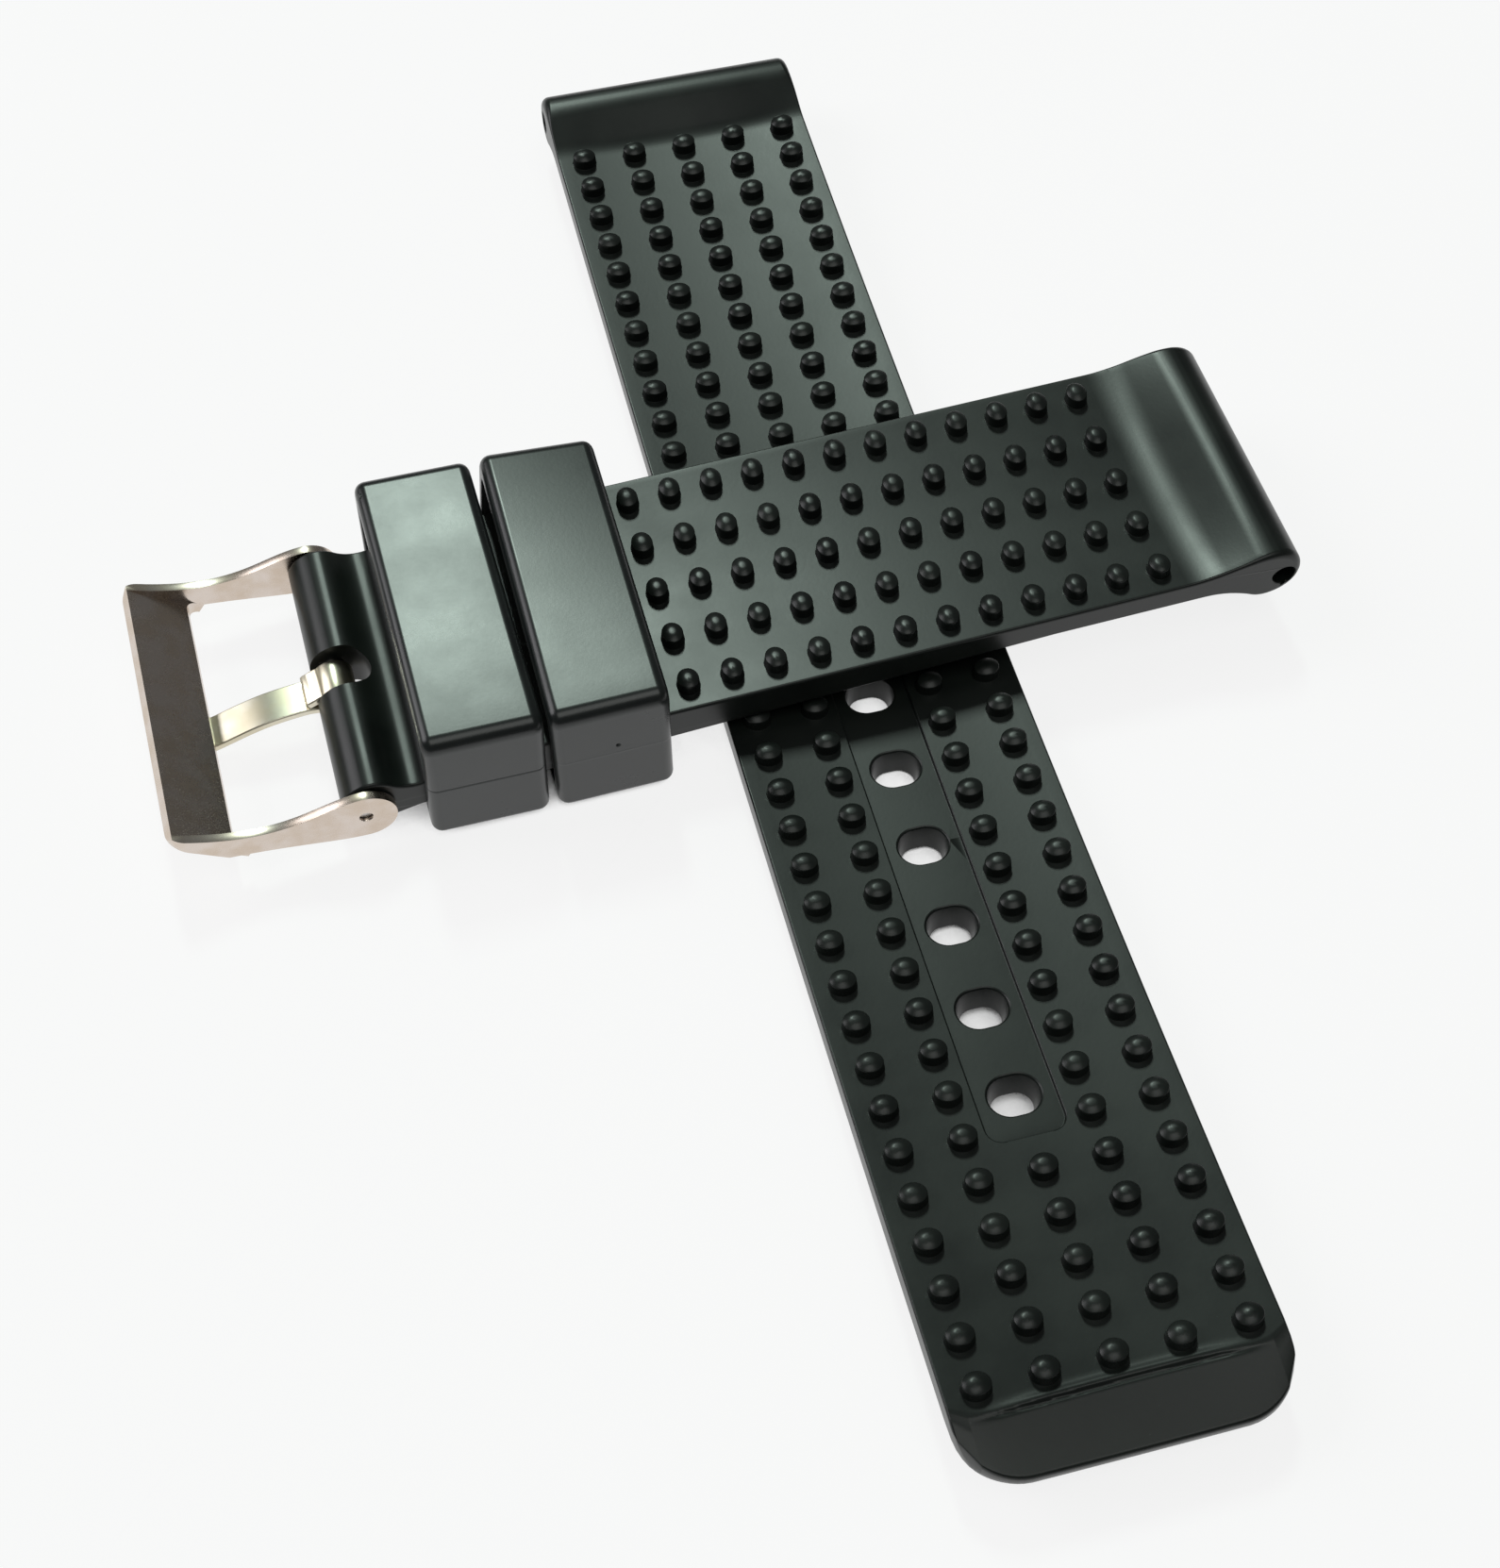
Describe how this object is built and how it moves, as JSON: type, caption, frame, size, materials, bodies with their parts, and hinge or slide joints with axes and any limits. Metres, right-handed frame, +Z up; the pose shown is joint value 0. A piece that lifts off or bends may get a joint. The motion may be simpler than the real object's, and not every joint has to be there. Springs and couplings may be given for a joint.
{
  "type": "rubber watch strap",
  "caption": "Two-piece rubber watch strap with a studded inner face, two keepers and a steel pin buckle, laid with its halves crossed.",
  "frame": {"origin": "middle of the whole lay's outline, on the surface that it lies on", "axes": "+Z up, away from that surface, so both halves have their studded inner faces up; +Y along the hole half towards its lug end; the buckle half crosses it with its buckle towards -X"},
  "size_m": [0.0788, 0.1152, 0.0107],
  "materials": {
    "strap_rubber": "moulded, satin, charcoal black",
    "keeper_rubber": "moulded, satin, slightly lighter charcoal",
    "polished_steel": "polished stainless steel",
    "tongue_steel": "stamped stainless steel strip, warm tone",
    "bar_steel": "turned stainless steel",
    "spring_steel": "drawn spring wire"
  },
  "bodies": {
    "hole_half": {"hole_strap": "strap_rubber"},
    "buckle_half": {"buckle_strap": "strap_rubber", "bar_tube": "bar_steel", "bar_spring": "spring_steel"},
    "first_keeper": {"first_keeper": "keeper_rubber"},
    "second_keeper": {"second_keeper": "keeper_rubber"},
    "frame": {"buckle_frame": "polished_steel"},
    "tongue": {"buckle_tongue": "tongue_steel"},
    "near_tip": {"bar_tip_near": "bar_steel"},
    "far_tip": {"bar_tip_far": "bar_steel"}
  },
  "joints": [
    {"name": "lift", "type": "slide", "parent": "hole_half", "child": "buckle_half", "axis": [0, 0, 1], "range_m": [0, 0.03]},
    {"name": "first_keeper_slide", "type": "slide", "parent": "buckle_half", "child": "first_keeper", "axis": [0.9994, 0.0286, 0.0199], "range_m": [-0.0007, 0]},
    {"name": "second_keeper_slide", "type": "slide", "parent": "buckle_half", "child": "second_keeper", "axis": [0.9994, 0.0286, 0.0199], "range_m": [0, 0.0034]},
    {"name": "frame_swing", "type": "hinge", "parent": "buckle_half", "child": "frame", "pos_m": [-0.02625, 0.00485, 0.00359], "axis": [-0.0288, 0.9995, 0.0113], "range_deg": [-40, 90]},
    {"name": "tongue_swing", "type": "hinge", "parent": "frame", "child": "tongue", "pos_m": [-0.02625, 0.00485, 0.00359], "axis": [-0.0288, 0.9995, 0.0113], "range_deg": [-70, 0]},
    {"name": "near_tip_press", "type": "slide", "parent": "buckle_half", "child": "near_tip", "axis": [-0.0288, 0.9995, 0.0113], "range_m": [0, 0.001], "stiffness_N_per_m": 600, "springref_m": -0.002, "deforming": ["bar_spring"]},
    {"name": "far_tip_press", "type": "slide", "parent": "buckle_half", "child": "far_tip", "axis": [0.0288, -0.9995, -0.0113], "range_m": [0, 0.001], "stiffness_N_per_m": 600, "springref_m": -0.002, "deforming": ["bar_spring"]}
  ]
}
